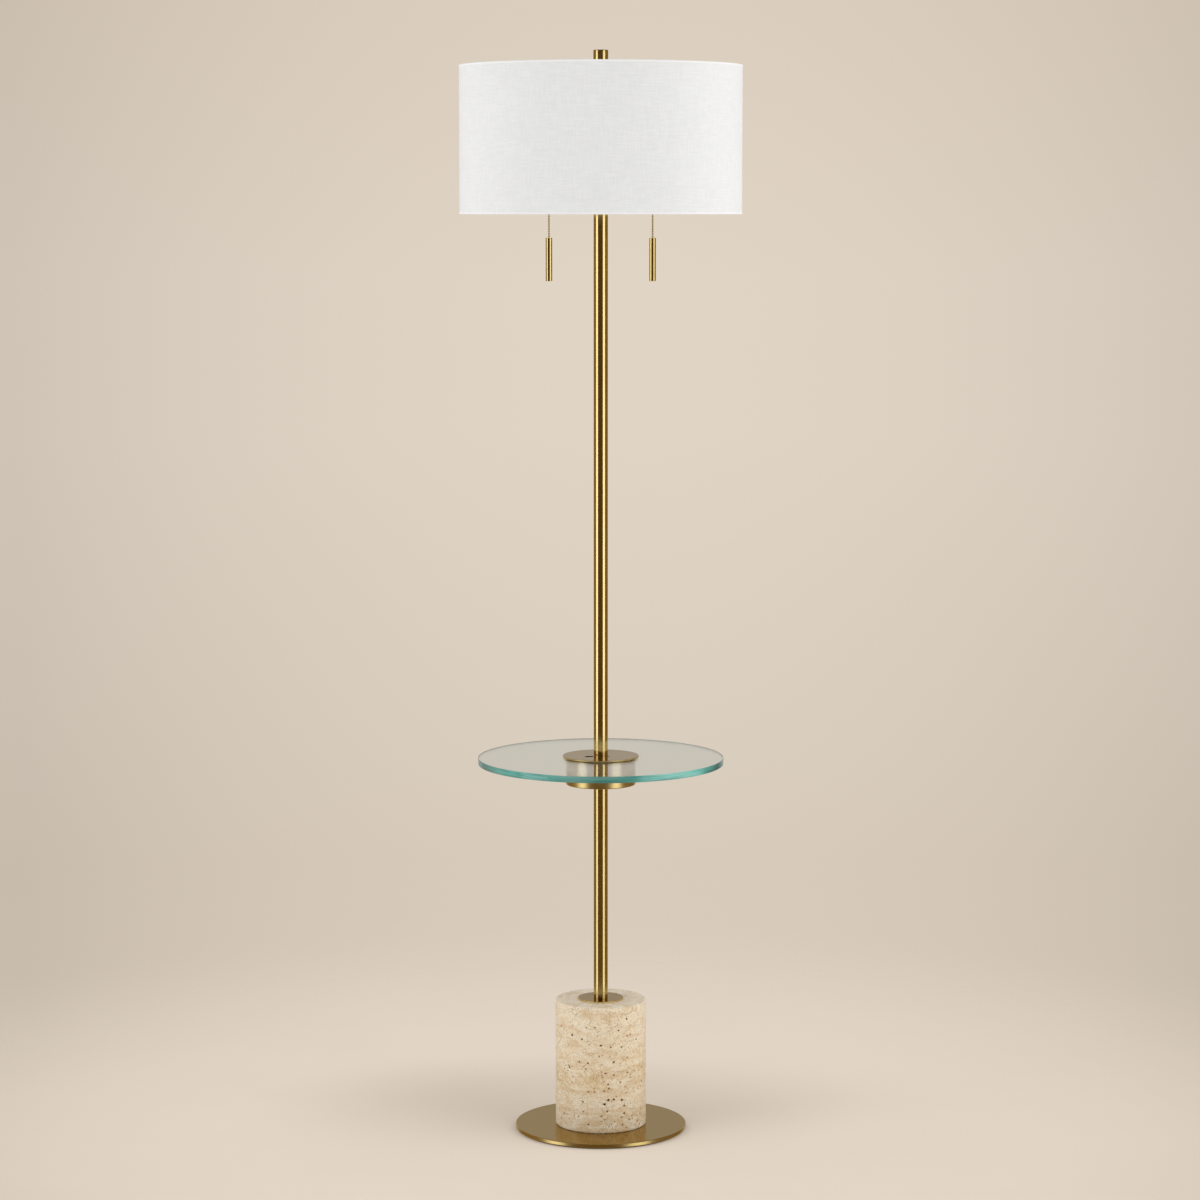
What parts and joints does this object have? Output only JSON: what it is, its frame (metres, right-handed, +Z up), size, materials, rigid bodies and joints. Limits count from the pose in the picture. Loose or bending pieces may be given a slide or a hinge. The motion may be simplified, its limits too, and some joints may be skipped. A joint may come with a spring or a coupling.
{
  "type": "shelf floor lamp",
  "caption": "Floor lamp with a drum shade over pull-chain sockets, a round glass shelf clamped on a brass stem, and a stone block on a round plate.",
  "frame": {"origin": "on the floor, under the middle of the stem, at the underside of the felt pad", "axes": "+Z up along the stem, +X towards the right-hand pull chain, -Y towards the front"},
  "size_m": [0.4319, 0.432, 1.6748],
  "materials": {
    "satin_brass": "satin brushed brass with fine lines along each piece",
    "bead_brass": "bead chain in brass",
    "travertine": "honed cream travertine with open pits",
    "shelf_glass": "clear float glass with a green polished edge",
    "shade_linen": "white linen",
    "shade_lining": "white styrene lining",
    "trim_cloth": "white folded tape",
    "bulb_frost": "frosted white glass",
    "nickel_contact": "plain metal of lamp bases and contact shells",
    "zinc_steel": "zinc plated steel",
    "phenolic": "black moulded phenolic",
    "clear_rubber": "clear soft gasket",
    "black_rubber": "black soft gasket",
    "nylon": "natural nylon",
    "felt": "dark felt"
  },
  "bodies": {
    "stand": {"felt_pad": "felt", "base_plate": "satin_brass", "base_nut": "zinc_steel", "base_washer": "zinc_steel", "travertine_block": "travertine", "cord_bushing": "phenolic", "stone_flange": "satin_brass", "threaded_pipe": "zinc_steel", "lower_stem": "satin_brass", "shelf_cup": "satin_brass", "cup_washer": "zinc_steel", "cup_nut": "zinc_steel", "cup_gasket": "clear_rubber", "glass_shelf": "shelf_glass", "glass_bushing": "nylon", "disc_gasket": "black_rubber", "clamp_disc": "satin_brass", "stem_plug": "satin_brass", "upper_stem": "satin_brass", "stem_cap": "satin_brass", "cluster_nipple": "zinc_steel", "cluster_body": "satin_brass", "riser_rod": "zinc_steel", "riser_tube": "satin_brass", "shade_seat": "satin_brass", "finial_washer": "satin_brass", "arm_tube_left": "satin_brass", "arm_nipple_left": "zinc_steel", "socket_cap_left": "satin_brass", "socket_shell_left": "satin_brass", "socket_interior_left": "phenolic", "contact_shell_left": "nickel_contact", "chain_guide_left": "satin_brass", "bulb_base_left": "nickel_contact", "bulb_glass_left": "bulb_frost", "arm_tube_right": "satin_brass", "arm_nipple_right": "zinc_steel", "socket_cap_right": "satin_brass", "socket_shell_right": "satin_brass", "socket_interior_right": "phenolic", "contact_shell_right": "nickel_contact", "chain_guide_right": "satin_brass", "bulb_base_right": "nickel_contact", "bulb_glass_right": "bulb_frost"},
    "shade": {"shade_spider": "satin_brass", "shade_top_ring": "zinc_steel", "shade_bottom_ring": "zinc_steel", "shade_liner": "shade_lining", "shade_fabric": "shade_linen", "shade_top_trim": "trim_cloth", "shade_bottom_trim": "trim_cloth"},
    "finial": {"finial": "satin_brass"},
    "chain_end_left": {"chain_stub_left": "bead_brass"},
    "chain_left": {"pull_chain_left": "bead_brass"},
    "bar_left": {"pull_bar_left": "satin_brass"},
    "chain_end_right": {"chain_stub_right": "bead_brass"},
    "chain_right": {"pull_chain_right": "bead_brass"},
    "bar_right": {"pull_bar_right": "satin_brass"}
  },
  "joints": [
    {"name": "shade_turn", "type": "hinge", "parent": "stand", "child": "shade", "pos_m": [0, 0, 1.642], "axis": [0, 0, 1], "continuous": true},
    {"name": "finial_turn", "type": "hinge", "parent": "stand", "child": "finial", "pos_m": [0, 0, 1.66], "axis": [0, 0, 1], "continuous": true},
    {"name": "pull_right", "type": "slide", "parent": "stand", "child": "chain_end_right", "axis": [0, 0, -1], "range_m": [0, 0.012], "stiffness_N_per_m": 300, "springref_m": -0.006},
    {"name": "chain_swing_right", "type": "hinge", "parent": "chain_end_right", "child": "chain_right", "pos_m": [0.0792, 0, 1.4778], "axis": [0, -1, 0], "range_deg": [-20, 30]},
    {"name": "bar_swing_right", "type": "hinge", "parent": "chain_right", "child": "bar_right", "pos_m": [0.0792, 0, 1.38967], "axis": [1, 0, 0], "range_deg": [-25, 25]},
    {"name": "pull_left", "type": "slide", "parent": "stand", "child": "chain_end_left", "axis": [0, 0, -1], "range_m": [0, 0.012], "stiffness_N_per_m": 300, "springref_m": -0.006},
    {"name": "chain_swing_left", "type": "hinge", "parent": "chain_end_left", "child": "chain_left", "pos_m": [-0.0792, 0, 1.4778], "axis": [0, 1, 0], "range_deg": [-20, 30]},
    {"name": "bar_swing_left", "type": "hinge", "parent": "chain_left", "child": "bar_left", "pos_m": [-0.0792, 0, 1.38967], "axis": [1, 0, 0], "range_deg": [-25, 25]}
  ]
}
